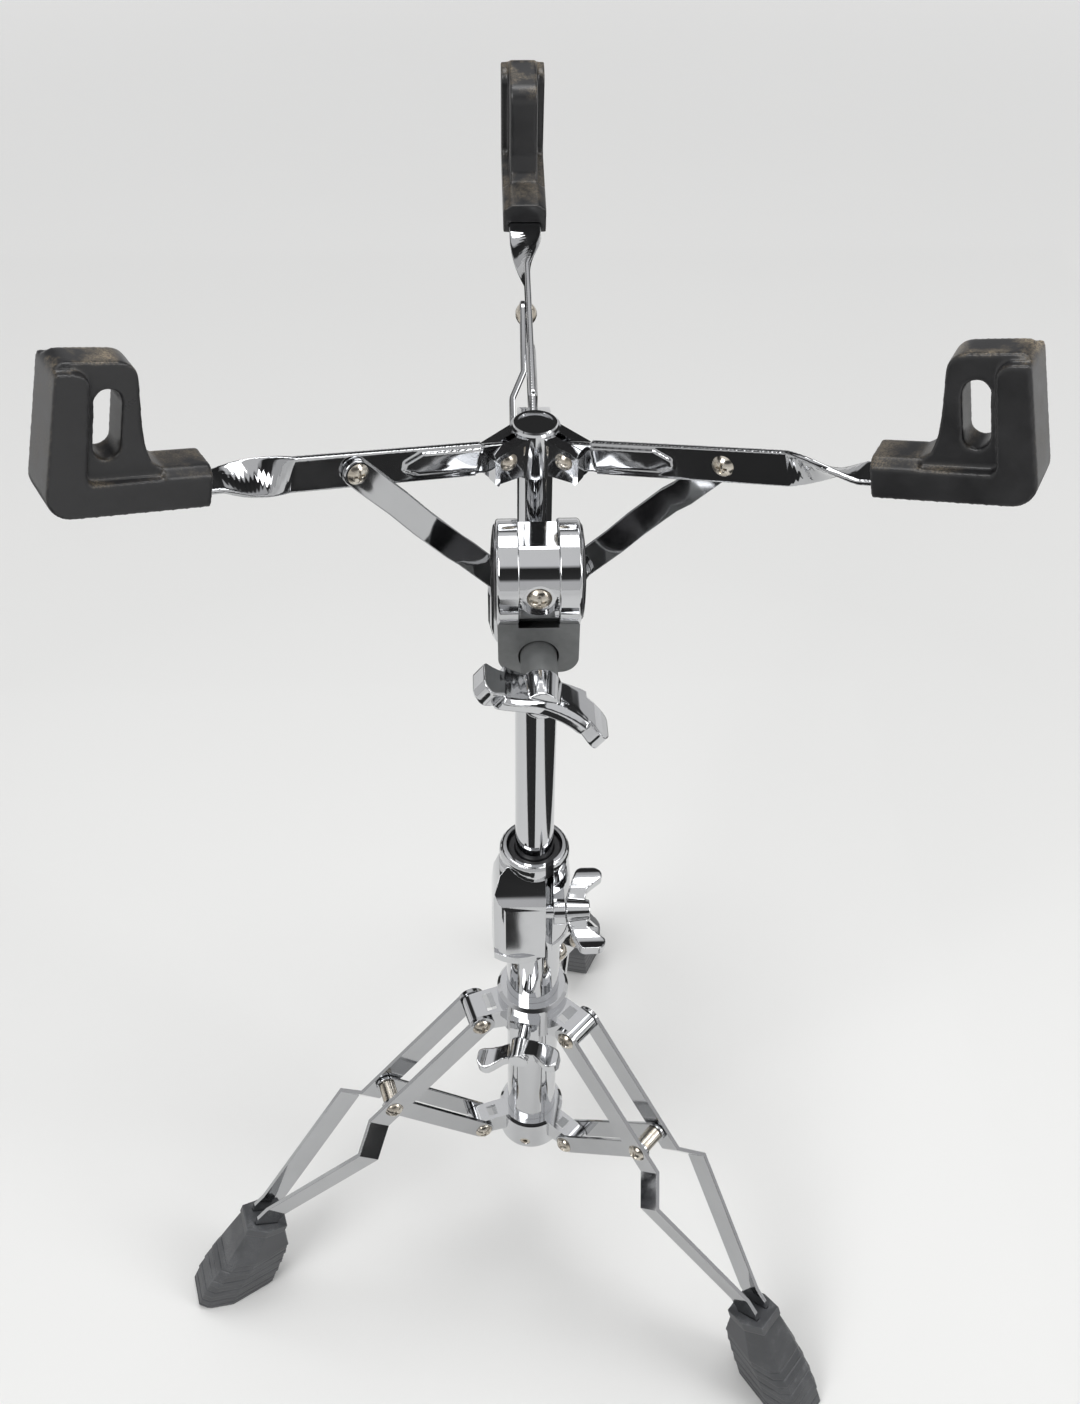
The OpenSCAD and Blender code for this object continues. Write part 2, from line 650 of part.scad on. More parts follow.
module cross_ear(s) {
  mirror([0, s < 0 ? 1 : 0, 0]) {
    translate([0, 5.4, 0]) rotate([90, 0, 0]) linear_extrude(height = 5.4)
      polygon([[5, -9], [21.8, -9], [23.4, -7.2], [23.4, 3.4], [22, 5], [8, 9], [5, 9]]);
    translate([0, 6.9, 0]) rotate([90, 0, 0]) linear_extrude(height = 3)
      polygon([[5, 6.6], [8, 6.6], [20.6, 3.1], [21.2, 2], [21.2, -8], [21.8, -9], [23.4, -7.2],
        [23.4, 3.4], [22, 5], [8, 9], [5, 9]]);
  }
}

module hub_cap() {
  color([0.83, 0.84, 0.86]) translate([0, basket_y, hub_z1]) rotate_extrude($fn = 96)
    polygon([[0, 0], [10.4, 0], [10.4, 1], [9.4, 1.6], [9, 2.4], [7.6, 2.4], [7.4, 1.6], [0, 1.6]]);
}

module hub_pins() {
  color([0.8, 0.79, 0.76]) for (i = [0:2]) basket_spoke(i) translate([hub_r, 0, hub_z])
    pivot_pin(-5.4, 5.4, pin_d - 1, 8, 2.2);
}

module arm_frame(i) {
  basket_spoke(i) translate([hub_r, 0, hub_z]) rotate([0, -arm_a, 0]) children();
}

module arm(i) {
  color([0.82, 0.83, 0.85]) arm_frame(i) difference() {
    union() {
      cross_cyl(arm_h / 2 - 1, -arm_t / 2, arm_t / 2);
      translate([0, -arm_t / 2, -arm_h / 2 + 1]) cube([14, arm_t, arm_h - 2]);
      translate([12, -arm_t / 2, -arm_h / 2]) cube([twist_x0 - 12, arm_t, arm_h]);
      for (s = [-1, 1]) mirror([0, s < 0 ? 1 : 0, 0])
        translate([0, arm_t / 2 - 0.5, 0]) rotate([-90, 0, 0]) linear_extrude(height = 1.3)
          polygon([[12, -5.4], [40, -5.4], [47, -1.5], [47, 1.5], [40, 4], [12, 4]]);
      translate([twist_x0, 0, 0]) rotate([0, 90, 0])
        linear_extrude(height = twist_x1 - twist_x0, twist = -90, slices = 16, $fn = 4)
          square([arm_h, arm_t], center = true);
      translate([twist_x1, -arm_h / 2, -arm_t / 2]) cube([6 + tip_seat, arm_h, arm_t]);
    }
    cross_cyl(pin_hole - 0.5, -9, 9);
    translate([arm_pin, 0, 0]) cross_cyl(2 + run_gap, -9, 9);
  }
}

module arm_rivet(i) {
  color([0.8, 0.79, 0.76]) arm_frame(i) translate([arm_pin, 0, 0]) {
    cross_cyl(2, -arm_t / 2 - 0.1, strut_s0 + strut_t / 2 + 0.15);
    translate([0, -arm_t / 2, 0]) rotate([90, 0, 0]) dome_head(9, 2.4);
    translate([0, strut_s0 + strut_t / 2 + 0.1, 0]) rotate([-90, 0, 0]) dome_head(9, 2);
  }
}

module tip_side() {
  polygon(concat(
    [[tip_x0, -tip_low]],
    arc([tip_x1 - 9.5, 9.5 - tip_low], 9.5, -90, 0, 8),
    arc([tip_x1 - 7, tip_high - 5], 5, 0, 90, 6),
    arc([tip_x1 - 24, tip_high - 7.5], 7, 90, 175, 7),
    [[tip_x1 - 32.6, 30], [tip_x1 - 34.4, 20], [tip_x1 - 37, 13.4], [tip_x1 - 41, ridge], [tip_x0, ridge]]));
}

// The grip's full width: its foot bar, and a spine with a round shoulder
module tip_wide() {
  polygon(concat(
    [[tip_x0 - 5, -10], [tip_x1 + 5, -10], [tip_x1 + 5, tip_high - 2.5]],
    arc([tip_x1 - 8.3, tip_high - 8], 5.5, 90, 180, 6),
    arc([tip_x1 - 16.4, lip + 2.6], 2.6, 0, -90, 4),
    [[tip_x0 - 5, lip]]));
}

module tip(i) {
  mid = tip_x1 - 20.8;
  color([0.13, 0.13, 0.13]) arm_frame(i) difference() {
    union() {
      rotate([90, 0, 0]) linear_extrude(height = tip_web, center = true) tip_side();
      rotate([90, 0, 0]) linear_extrude(height = tip_w, center = true) intersection() {
        tip_side();
        tip_wide();
      }
      translate([tip_x0, 0, 0]) rotate([90, 0, 90]) linear_extrude(height = 17.5) polygon([
        [-tip_w / 2, lip - 1], [tip_w / 2, lip - 1], [tip_w / 2, lip], [tip_web / 2, ridge],
        [-tip_web / 2, ridge], [-tip_w / 2, lip]]);
    }
    rotate([90, 0, 0]) linear_extrude(height = 40, center = true) {
      translate([mid, tip_high - 14.7]) circle(r = 4.7, $fn = 48);
      translate([mid - 0.4, 20.2]) circle(r = 4.7, $fn = 48);
      translate([mid - 5, 20.2]) square([9.4, tip_high - 34.9]);
    }
    translate([tip_x0 - 10, -arm_h / 2 - run_gap, -arm_t / 2 - run_gap])
      cube([tip_seat + 10 + run_gap, arm_h + 2 * run_gap, arm_t + 2 * run_gap]);
  }
}

function strut_path() = [
  [-12, strut_s0], [26, strut_s0], [38, strut_wide],
  [60, strut_wide], [72, strut_s1], [strut_len + 12, strut_s1]
];

module strut(i) {
  color([0.82, 0.83, 0.85]) basket_spoke(i) translate([arm_pin_r, 0, arm_pin_z])
    rotate([0, 180 - strut_dir, 0]) difference() {
      intersection() {
        linear_extrude(height = 60, center = true)
          ribbon(strut_path(), strut_t);
        rotate([90, 0, 0]) linear_extrude(height = 60, center = true) {
          circle(r = strut_h / 2);
          translate([0, -strut_h / 2]) square([strut_len, strut_h]);
          translate([strut_len, 0]) circle(r = strut_h / 2);
        }
      }
      cross_cyl(2 + run_gap, -9, 20);
      translate([strut_len, 0, 0]) cross_cyl(pin_d / 2 + open_gap, -9, 20);
    }
}

// ---- drawing ----

base_tube();
lower_collar();
collar_set_screw();
collar_pins();
height_clamp();
clamp_bushing();
clamp_wing_bolt();
upper_tube();
tilter_base();
tilter_wing_nut();
tilter_sleeve();
tilter_drum();
tilter_caps();
tilter_block();
tilter_screw();
block_pins();
basket_nut();
basket_screw();
basket_hub();
hub_cap();
hub_pins();
arm(0);  // arm_1
arm(1);  // arm_2
arm(2);  // arm_3
tip(0);  // tip_1
tip(1);  // tip_2
tip(2);  // tip_3
arm_rivet(0);  // arm_rivet_1
arm_rivet(1);  // arm_rivet_2
arm_rivet(2);  // arm_rivet_3
strut(0);  // strut_1
strut(1);  // strut_2
strut(2);  // strut_3
leg_casting();
leg_wing_bolt();
casting_pins();
leg_strip(0, 1);  // leg_1_left
leg_strip(0, -1);  // leg_1_right
leg_strip(1, 1);  // leg_2_left
leg_strip(1, -1);  // leg_2_right
leg_strip(2, 1);  // leg_3_left
leg_strip(2, -1);  // leg_3_right
brace_strip(0, 1);  // brace_1_left
brace_strip(0, -1);  // brace_1_right
brace_strip(1, 1);  // brace_2_left
brace_strip(1, -1);  // brace_2_right
brace_strip(2, 1);  // brace_3_left
brace_strip(2, -1);  // brace_3_right
leg_pin(0);  // leg_pin_1
leg_pin(1);  // leg_pin_2
leg_pin(2);  // leg_pin_3
foot(0);  // foot_1
foot(1);  // foot_2
foot(2);  // foot_3
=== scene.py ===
"""Dresses the snare drum stand: plated metal, rubber grips and feet, and a pale studio floor."""

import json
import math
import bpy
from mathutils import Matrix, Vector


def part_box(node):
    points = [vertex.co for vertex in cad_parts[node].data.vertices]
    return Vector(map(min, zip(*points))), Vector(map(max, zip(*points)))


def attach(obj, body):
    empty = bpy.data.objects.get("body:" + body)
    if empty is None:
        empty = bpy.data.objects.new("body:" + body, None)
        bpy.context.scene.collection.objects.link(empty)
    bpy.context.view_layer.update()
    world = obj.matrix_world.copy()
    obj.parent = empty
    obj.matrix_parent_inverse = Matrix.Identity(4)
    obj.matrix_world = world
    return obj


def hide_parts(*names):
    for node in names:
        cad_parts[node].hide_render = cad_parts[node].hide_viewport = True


bl_info = {
    "name": "Snare Drum Stand",
    "version": (1, 0, 0),
    "blender": (4, 5, 0),
    "location": "3D View > Sidebar > Drum Stand",
    "description": "Builds the finished pieces of a folding snare drum stand over its solid model",
    "category": "Object",
}

import bmesh
import bpy
from bpy.props import FloatProperty, FloatVectorProperty, PointerProperty
from mathutils import Matrix, Vector

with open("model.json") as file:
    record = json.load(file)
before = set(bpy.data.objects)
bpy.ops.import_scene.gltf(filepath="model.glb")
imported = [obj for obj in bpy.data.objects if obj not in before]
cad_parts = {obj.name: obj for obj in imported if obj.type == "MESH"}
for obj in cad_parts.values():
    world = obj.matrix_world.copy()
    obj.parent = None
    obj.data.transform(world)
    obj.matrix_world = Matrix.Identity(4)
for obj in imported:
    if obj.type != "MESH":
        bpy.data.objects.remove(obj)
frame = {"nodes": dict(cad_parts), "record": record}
NODES = frame["nodes"]
BODY_OF = {n: b for b, ns in frame["record"]["behaviour"]["bodies"].items() for n in ns}
SLOT_OF = {s["node"]: s["material_slot"] for s in frame["record"]["subparts"]}

# azimuths of the three arms of the basket and of the three legs, in degrees
BASKET_AZIMUTHS = (90, 210, 330)
TRIPOD_AZIMUTHS = (77, 197, 317)

# angles between faces, in degrees: shaded sharp, shaded sharp on screw heads, and rounded off
SHARP_ANGLE = 32
HEAD_SHARP_ANGLE = 40
ROUNDED_ANGLE = 34

# the seams that are welded (metres) and the faces that count as flat (degrees)
WELD = 2e-6
FLAT = 0.6

# the feet's level grooves, in metres: spacing, half width, depth, and the heights they lie between
GROOVE_PITCH = 0.0047
GROOVE_HALF_WIDTH = 0.0006
GROOVE_DEPTH = 0.00045
GROOVES_FROM, GROOVES_TO = 0.004, 0.046

# the cross recess of a screw head, as shares of the head's radius: half length, half width and depth
CROSS_LONG, CROSS_WIDE, CROSS_DEEP = 0.5, 0.13, 0.34
CROWN = 0.0012

# the ridge over the tilter wing nut's hub: turn in degrees, steps either way, and sizes in metres
SADDLE_SKEW = -38
SADDLE_STEPS = 6
SADDLE_STEP = 0.0030
SADDLE_SWEEP = 0.0046
SADDLE_HALF = 0.0037

# lamps: name, place, width, height (metres) and the setting that holds the power
LAMPS = (
    ("key_lamp", (-1.1, -1.2, 1.9), 1.1, 1.1, "key_power"),
    ("fill_lamp", (1.5, -0.6, 1.4), 0.7, 1.2, "fill_power"),
    ("top_lamp", (0.1, 0.5, 2.3), 1.4, 0.9, "top_power"),
)
LAMP_AIM = (0, 0, 0.35)

# dark cards that only mirror rays see, for painted dark reflections in the plated metal: name, middle on the
# floor, half width and half depth, in metres
CARDS = (
    ("left_card", (-0.62, -0.75), 0.62, 0.5),
    ("right_card", (0.62, 0.18), 0.3, 0.8),
    ("back_card", (-0.1, 0.95), 0.9, 0.45),
)

# the room's brightness by the height of a direction, from level (0) to overhead (1)
ROOM = ((0.26, 0.72), (0.36, 0.05), (0.70, 0.03), (0.78, 0.95))
ROOM_LEVEL, ROOM_OVERHEAD, ROOM_STRENGTH = 0.72, 0.95, 0.85


# ---- sizes and colours that a user would change ----


class FinishSettings(bpy.types.PropertyGroup):
    chrome: FloatVectorProperty(
        name="Chrome",
        description="Colour of the plated metal",
        subtype="COLOR",
        size=3,
        min=0,
        max=1,
        default=(0.60, 0.607, 0.62),
    )
    screw: FloatVectorProperty(
        name="Screws",
        description="Colour of the nickel-toned screw and rivet heads",
        subtype="COLOR",
        size=3,
        min=0,
        max=1,
        default=(0.66, 0.62, 0.55),
    )
    casting: FloatVectorProperty(
        name="Grey casting",
        description="Colour of the blasted casting under the drum of the tilter",
        subtype="COLOR",
        size=3,
        min=0,
        max=1,
        default=(0.17, 0.175, 0.175),
    )
    grip: FloatVectorProperty(
        name="Grip rubber",
        description="Colour of the three grips that hold the drum",
        subtype="COLOR",
        size=3,
        min=0,
        max=1,
        default=(0.016, 0.016, 0.017),
    )
    foot: FloatVectorProperty(
        name="Foot rubber",
        description="Colour of the three rubber feet",
        subtype="COLOR",
        size=3,
        min=0,
        max=1,
        default=(0.050, 0.052, 0.056),
    )
    dust: FloatVectorProperty(
        name="Dust",
        description="Colour of the dust and wear on the rubber's edges",
        subtype="COLOR",
        size=3,
        min=0,
        max=1,
        default=(0.30, 0.245, 0.17),
    )


class EdgeSettings(bpy.types.PropertyGroup):
    cast_round: FloatProperty(
        name="Cast edges",
        description="Rounding of the edges of the plated castings",
        subtype="DISTANCE",
        unit="LENGTH",
        default=0.0008,
    )
    strip_round: FloatProperty(
        name="Strip edges",
        description="Rounding of the edges of the stamped strips",
        subtype="DISTANCE",
        unit="LENGTH",
        default=0.0005,
    )
    skin: FloatProperty(
        name="Moulded skin",
        description="Fineness of the skin from which the grips, feet, wings and arms are smoothed",
        subtype="DISTANCE",
        unit="LENGTH",
        default=0.0006,
    )


class StageSettings(bpy.types.PropertyGroup):
    floor: FloatVectorProperty(
        name="Floor",
        description="Colour of the studio floor",
        subtype="COLOR",
        size=3,
        min=0,
        max=1,
        default=(0.80, 0.80, 0.79),
    )
    key_power: FloatProperty(
        name="Key lamp", description="Power of the large lamp on the left", unit="POWER", default=22.0
    )
    fill_power: FloatProperty(
        name="Fill lamp", description="Power of the lamp on the right", unit="POWER", default=12.0
    )
    top_power: FloatProperty(
        name="Top lamp", description="Power of the lamp overhead", unit="POWER", default=16.0
    )
    side: FloatProperty(
        name="Camera side",
        description="Distance of the camera to the right of the tubes",
        subtype="DISTANCE",
        unit="LENGTH",
        default=-0.02098,
    )
    turn: FloatProperty(
        name="Camera turn",
        description="Turn of the camera to the right",
        subtype="ANGLE",
        unit="ROTATION",
        default=math.radians(2.84),
    )
    lens: FloatProperty(
        name="Lens",
        description="Focal length of the camera",
        subtype="DISTANCE_CAMERA",
        unit="CAMERA",
        default=46.37,
    )
    height: FloatProperty(
        name="Camera height",
        description="Height of the camera above the floor",
        subtype="DISTANCE",
        unit="LENGTH",
        default=0.86796,
    )
    distance: FloatProperty(
        name="Camera distance",
        description="Distance of the camera in front of the tubes",
        subtype="DISTANCE",
        unit="LENGTH",
        default=0.45768,
    )
    pitch: FloatProperty(
        name="Camera pitch",
        description="Angle of the camera below level",
        subtype="ANGLE",
        unit="ROTATION",
        default=math.radians(42.98),
    )
    roll: FloatProperty(
        name="Camera roll",
        description="Turn of the camera about its own line of sight",
        subtype="ANGLE",
        unit="ROTATION",
        default=math.radians(0.86),
    )


# ---- node helpers for the materials ----


class Finish:
    """A node material under construction, with short names for the nodes it uses."""

    def __init__(self, name):
        self.material = bpy.data.materials.new(name)
        self.material.use_nodes = True
        self.tree = self.material.node_tree
        self.shader = self.tree.nodes["Principled BSDF"]
        self.coordinates = self.tree.nodes.new("ShaderNodeTexCoord")

    def set(self, **values):
        for key, value in values.items():
            socket = self.shader.inputs[key.replace("_", " ")]
            socket.default_value = (*value, 1) if hasattr(value, "__len__") and len(value) == 3 else value
        return self

    def node(self, kind, **settings):
        made = self.tree.nodes.new(kind)
        for key, value in settings.items():
            setattr(made, key, value)
        return made

    def link(self, output, target):
        self.tree.links.new(output, target)
        return self

    def noise(self, scale, detail=3.0, roughness=0.5, stretch=(1, 1, 1)):
        mapping = self.node("ShaderNodeMapping")
        mapping.inputs["Scale"].default_value = stretch
        self.link(self.coordinates.outputs["Object"], mapping.inputs["Vector"])
        made = self.node("ShaderNodeTexNoise")
        made.inputs["Scale"].default_value = scale
        made.inputs["Detail"].default_value = detail
        made.inputs["Roughness"].default_value = roughness
        self.link(mapping.outputs["Vector"], made.inputs["Vector"])
        return made.outputs["Fac"]

    def ranged(self, value, low, high, out_low, out_high):
        made = self.node("ShaderNodeMapRange")
        for key, number in zip(("From Min", "From Max", "To Min", "To Max"), (low, high, out_low, out_high)):
            made.inputs[key].default_value = number
        self.link(value, made.inputs["Value"])
        return made.outputs["Result"]

    def mixed(self, factor, first, second):
        made = self.node("ShaderNodeMix", data_type="RGBA")
        self.link(factor, made.inputs["Factor"])
        for key, colour in (("A", first), ("B", second)):
            socket = made.inputs[6 if key == "A" else 7]
            if hasattr(colour, "is_output"):
                self.link(colour, socket)
            else:
                socket.default_value = (*colour, 1)
        return made.outputs[2]

    def math(self, operation, first, second):
        made = self.node("ShaderNodeMath", operation=operation)
        for socket, value in zip(made.inputs, (first, second)):
            if hasattr(value, "is_output"):
                self.link(value, socket)
            else:
                socket.default_value = value
        return made.outputs[0]

    def bump(self, height, strength, distance):
        made = self.node("ShaderNodeBump")
        made.inputs["Strength"].default_value = strength
        made.inputs["Distance"].default_value = distance
        self.link(height, made.inputs["Height"])
        self.link(made.outputs["Normal"], self.shader.inputs["Normal"])

    def worn_edge(self, low, high):
        """1 on raised edges and 0 elsewhere."""
        geometry = self.node("ShaderNodeNewGeometry")
        return self.ranged(geometry.outputs["Pointiness"], low, high, 0, 1)

    def upward(self, low, high):
        """1 on faces that look up and gather dust."""
        geometry = self.node("ShaderNodeNewGeometry")
        split = self.node("ShaderNodeSeparateXYZ")
        self.link(geometry.outputs["Normal"], split.inputs[0])
        return self.ranged(split.outputs["Z"], low, high, 0, 1)


def plated(name, colour, smooth, ripple, streaks=(1, 1, 1)):
    """Chrome plate: faint smears in the gloss, and a slow ripple of the metal below."""
    made = Finish(name).set(Base_Color=tuple(colour), Metallic=1.0)
    smear = made.noise(38, 4, 0.6, streaks)
    made.link(made.ranged(smear, 0.35, 0.75, smooth, smooth + 0.06), made.shader.inputs["Roughness"])
    shade = made.mixed(made.ranged(smear, 0.45, 0.8, 0, 1), tuple(colour), tuple(c * 0.93 for c in colour))
    made.link(shade, made.shader.inputs["Base Color"])
    made.bump(made.noise(24, 2, 0.4, streaks), ripple, 0.0008)
    return made.material


def make_finishes(settings):
    """One material for each slot of the record."""
    made = {}
    chrome = tuple(settings.chrome)
    made["chrome_tube"] = plated("plated_tube", chrome, 0.035, 0.05, (1, 1, 0.12))
    # the stamped strips get the chrome colour at 0.8: painted shade standing in for the darker reflections
    # on their faces, on the same plating
    made["chrome_strip"] = plated("plated_strip", tuple(c * 0.8 for c in chrome), 0.045, 0.1)
    made["chrome_cast"] = plated("plated_casting", chrome, 0.05, 0.3)
    made["chrome_wing"] = plated("plated_wing", chrome, 0.05, 0.25)

    screw = Finish("nickel_screws").set(Metallic=1.0)
    grime = screw.noise(160, 4, 0.6)
    screw.link(
        screw.mixed(screw.ranged(grime, 0.4, 0.75, 0, 1), tuple(settings.screw), (0.42, 0.36, 0.28)),
        screw.shader.inputs["Base Color"],
    )
    screw.link(screw.ranged(grime, 0.3, 0.7, 0.12, 0.34), screw.shader.inputs["Roughness"])
    screw.bump(screw.noise(420, 2), 0.15, 0.0003)
    made["screw_metal"] = screw.material

    cast = Finish("blasted_grey").set(Metallic=0.65)
    mottle = cast.noise(90, 5, 0.6)
    cast.link(
        cast.mixed(
            cast.ranged(mottle, 0.3, 0.75, 0, 1),
            tuple(settings.casting),
            tuple(c * 1.5 for c in settings.casting),
        ),
        cast.shader.inputs["Base Color"],
    )
    cast.link(cast.ranged(mottle, 0.3, 0.7, 0.42, 0.56), cast.shader.inputs["Roughness"])
    cast.bump(cast.noise(2600, 3, 0.6), 0.5, 0.0002)
    made["cast_grey"] = cast.material

    cap = Finish("dark_caps").set(Metallic=0.9)
    cap_smear = cap.noise(60, 3)
    cap.link(cap.mixed(cap_smear, (0.05, 0.05, 0.053), (0.11, 0.11, 0.115)), cap.shader.inputs["Base Color"])
    cap.link(cap.ranged(cap_smear, 0.3, 0.7, 0.16, 0.28), cap.shader.inputs["Roughness"])
    made["cap_grey"] = cap.material

    made["grip_rubber"] = rubber("worn_grip_rubber", settings.grip, settings.dust, 0.27, 0.630, 0.9)
    made["foot_rubber"] = rubber(
        "moulded_foot_rubber", settings.foot, (0.23, 0.235, 0.24), 0.42, 0.02, 0.5, 0.505, 1.0
    )

    nylon = Finish("dark_nylon").set(Specular_IOR_Level=0.45)
    nylon_noise = nylon.noise(300, 3)
    nylon_shade = nylon.mixed(nylon_noise, (0.018, 0.018, 0.02), (0.035, 0.035, 0.037))
    nylon.link(nylon_shade, nylon.shader.inputs["Base Color"])
    nylon.link(nylon.ranged(nylon_noise, 0.3, 0.7, 0.3, 0.45), nylon.shader.inputs["Roughness"])
    nylon.bump(nylon.noise(1500, 2), 0.15, 0.0002)
    made["bushing_nylon"] = nylon.material
    return made


def rubber(name, colour, dust, gloss, dust_from, wear, edge_low=0.53, edge_wear=0.35):
    """Satin rubber with a fine moulded grain, and dust above a height and on the upper edges."""
    made = Finish(name).set(Specular_IOR_Level=0.5)
    patch = made.noise(55, 4, 0.6)
    speck = made.noise(1400, 3, 0.7)
    base = made.mixed(made.ranged(patch, 0.35, 0.7, 0, 1), tuple(colour), tuple(c * 1.45 for c in colour))
    split = made.node("ShaderNodeSeparateXYZ")
    made.link(made.coordinates.outputs["Object"], split.inputs[0])
    high = made.ranged(split.outputs["Z"], dust_from, dust_from + 0.010, 0.45, 1)
    lying = made.math("MULTIPLY", high, made.upward(0.1, 0.8))
    patches = made.math("MULTIPLY", lying, made.ranged(patch, 0.46, 0.62, 0, 1))
    grains = made.math("MULTIPLY", patches, made.ranged(speck, 0.4, 0.6, 0.1, 1))
    rim = made.worn_edge(edge_low, edge_low + 0.08)
    edge = made.math("MULTIPLY", rim, made.ranged(patch, 0.3, 0.7, 0, edge_wear))
    factor = made.math("MULTIPLY", made.math("MAXIMUM", grains, edge), wear)
    made.link(made.mixed(factor, base, tuple(dust)), made.shader.inputs["Base Color"])
    made.link(made.ranged(patch, 0.3, 0.7, gloss, gloss + 0.14), made.shader.inputs["Roughness"])
    made.bump(speck, 0.16, 0.0002)
    return made.material


FINISHES = {}


def finish_node(name):
    """Gives a solid of the frame its finish."""
    shown = NODES[name]
    shown.data.materials.clear()
    shown.data.materials.append(FINISHES[SLOT_OF[name]])


def place(piece, node):
    """Lets a finished piece ride with its solid's body and stand for it."""
    piece.data.materials.clear()
    piece.data.materials.append(FINISHES[SLOT_OF[node]])
    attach(piece, BODY_OF[node])
    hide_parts(node)
    return piece


# ---- mesh helpers ----


def mesh_piece(name, bm, sharp=SHARP_ANGLE):
    """An object from a bmesh, smooth apart from its sharp edges."""
    mesh = bpy.data.meshes.new(name)
    bm.normal_update()
    bm.to_mesh(mesh)
    bm.free()
    mesh.polygons.foreach_set("use_smooth", [True] * len(mesh.polygons))
    mesh.set_sharp_from_angle(angle=math.radians(sharp))
    piece = bpy.data.objects.new(name, mesh)
    bpy.context.scene.collection.objects.link(piece)
    return piece


def welded(node):
    """A bmesh of a solid, with its seams welded and its flat faces whole."""
    bm = bmesh.new()
    bm.from_mesh(NODES[node].data)
    bmesh.ops.remove_doubles(bm, verts=bm.verts, dist=WELD)
    bmesh.ops.dissolve_limit(
        bm, angle_limit=math.radians(FLAT), verts=bm.verts, edges=bm.edges, use_dissolve_boundaries=False
    )
    return bm


def rounded(node, name, width, segments=3):
    """A copy of a solid with its edges rounded off, as plating and casting leave them."""
    piece = mesh_piece(name, welded(node))
    bevel = piece.modifiers.new("edges", "BEVEL")
    bevel.width = width
    bevel.segments = segments
    bevel.limit_method = "ANGLE"
    bevel.angle_limit = math.radians(ROUNDED_ANGLE)
    bevel.harden_normals = False
    bevel.use_clamp_overlap = True
    normals = piece.modifiers.new("normals", "WEIGHTED_NORMAL")
    normals.keep_sharp = True
    apply_modifiers(piece)
    return place(piece, node)


def moulded(node, name, skin, passes, keep=1.0, added=None):
    """A copy of a solid with soft moulded corners and fillets, as rubber and small castings have."""
    bm = welded(node)
    if added is not None:
        bm.from_mesh(added)
    piece = mesh_piece(name, bm)
    remesh = piece.modifiers.new("skin", "REMESH")
    remesh.mode = "VOXEL"
    remesh.voxel_size = skin
    smooth = piece.modifiers.new("fillets", "SMOOTH")
    smooth.factor = 0.5
    smooth.iterations = passes
    if keep < 1:
        piece.modifiers.new("thin", "DECIMATE").ratio = keep
    apply_modifiers(piece)
    piece.data.polygons.foreach_set("use_smooth", [True] * len(piece.data.polygons))
    return place(piece, node)


def grooved(piece):
    """Presses level grooves into the sides of a piece, one above the other."""
    normals = [(vert.normal.x, vert.normal.y, vert.normal.z) for vert in piece.data.vertices]
    points = [0.0] * (3 * len(normals))
    piece.data.vertices.foreach_get("co", points)
    for number, normal in enumerate(normals):
        height = points[3 * number + 2]
        off = (height + GROOVE_PITCH / 2) % GROOVE_PITCH - GROOVE_PITCH / 2
        on_side = abs(normal[2]) < 0.75 and GROOVES_FROM < height < GROOVES_TO
        if on_side and abs(off) < GROOVE_HALF_WIDTH:
            press = GROOVE_DEPTH * (1 - (off / GROOVE_HALF_WIDTH) ** 2)
            for axis in range(3):
                points[3 * number + axis] -= normal[axis] * press
    piece.data.vertices.foreach_set("co", points)
    piece.data.update()


def islands(node):
    """The points of each separate solid of a node."""
    bm = welded(node)
    left = set(bm.verts)
    found = []
    while left:
        edge = [left.pop()]
        points = []
        while edge:
            vert = edge.pop()
            points.append(vert.co.copy())
            for link in vert.link_edges:
                other = link.other_vert(vert)
                if other in left:
                    left.remove(other)
                    edge.append(other)
        found.append(points)
    bm.free()
    return found


def crossed(node, name, azimuths):
    """A copy of round-headed fasteners with a cross recess in each head that faces the front."""
    piece = mesh_piece(name, welded(node), HEAD_SHARP_ANGLE)
    cutters = []
    for number, points in enumerate(islands(node)):
        middle = sum(points, Vector()) / len(points)
        facing = Vector((middle.x, middle.y, 0)).normalized()
        axis = Vector((0, -1, 0))
        if azimuths:
            arms = [Vector((math.cos(math.radians(a)), math.sin(math.radians(a)), 0)) for a in azimuths]
            along = max(arms, key=facing.dot)
            axis = Vector((-along.y, along.x, 0))
            if axis.y > 0.01 or (abs(axis.y) <= 0.01 and axis.x > 0):
                axis = -axis
        reach = max(point.dot(axis) for point in points)
        crown = [point for point in points if point.dot(axis) > reach - CROWN]
        top = sum(crown, Vector()) / len(crown)
        top += axis * (reach - top.dot(axis))
        radius = (max(point.z for point in points) - min(point.z for point in points)) / 2
        side = axis.cross(Vector((0, 0, 1)))
        for blade in (0, 1):
            long_way = side if blade else Vector((0, 0, 1))
            short_way = Vector((0, 0, 1)) if blade else side
            halves = (
                long_way * radius * CROSS_LONG,
                short_way * radius * CROSS_WIDE,
                axis * radius * CROSS_DEEP,
            )
            cutters.append(box_cutter("%s_cut_%d_%d" % (name, number, blade), top, halves))
    for cutter in cutters:
        cut = piece.modifiers.new("cross", "BOOLEAN")
        cut.operation = "DIFFERENCE"
        cut.solver = "EXACT"
        cut.object = cutter
    apply_modifiers(piece)
    for cutter in cutters:
        bpy.data.objects.remove(cutter)
    piece.data.polygons.foreach_set("use_smooth", [True] * len(piece.data.polygons))
    piece.data.set_sharp_from_angle(angle=math.radians(HEAD_SHARP_ANGLE))
    return place(piece, node)


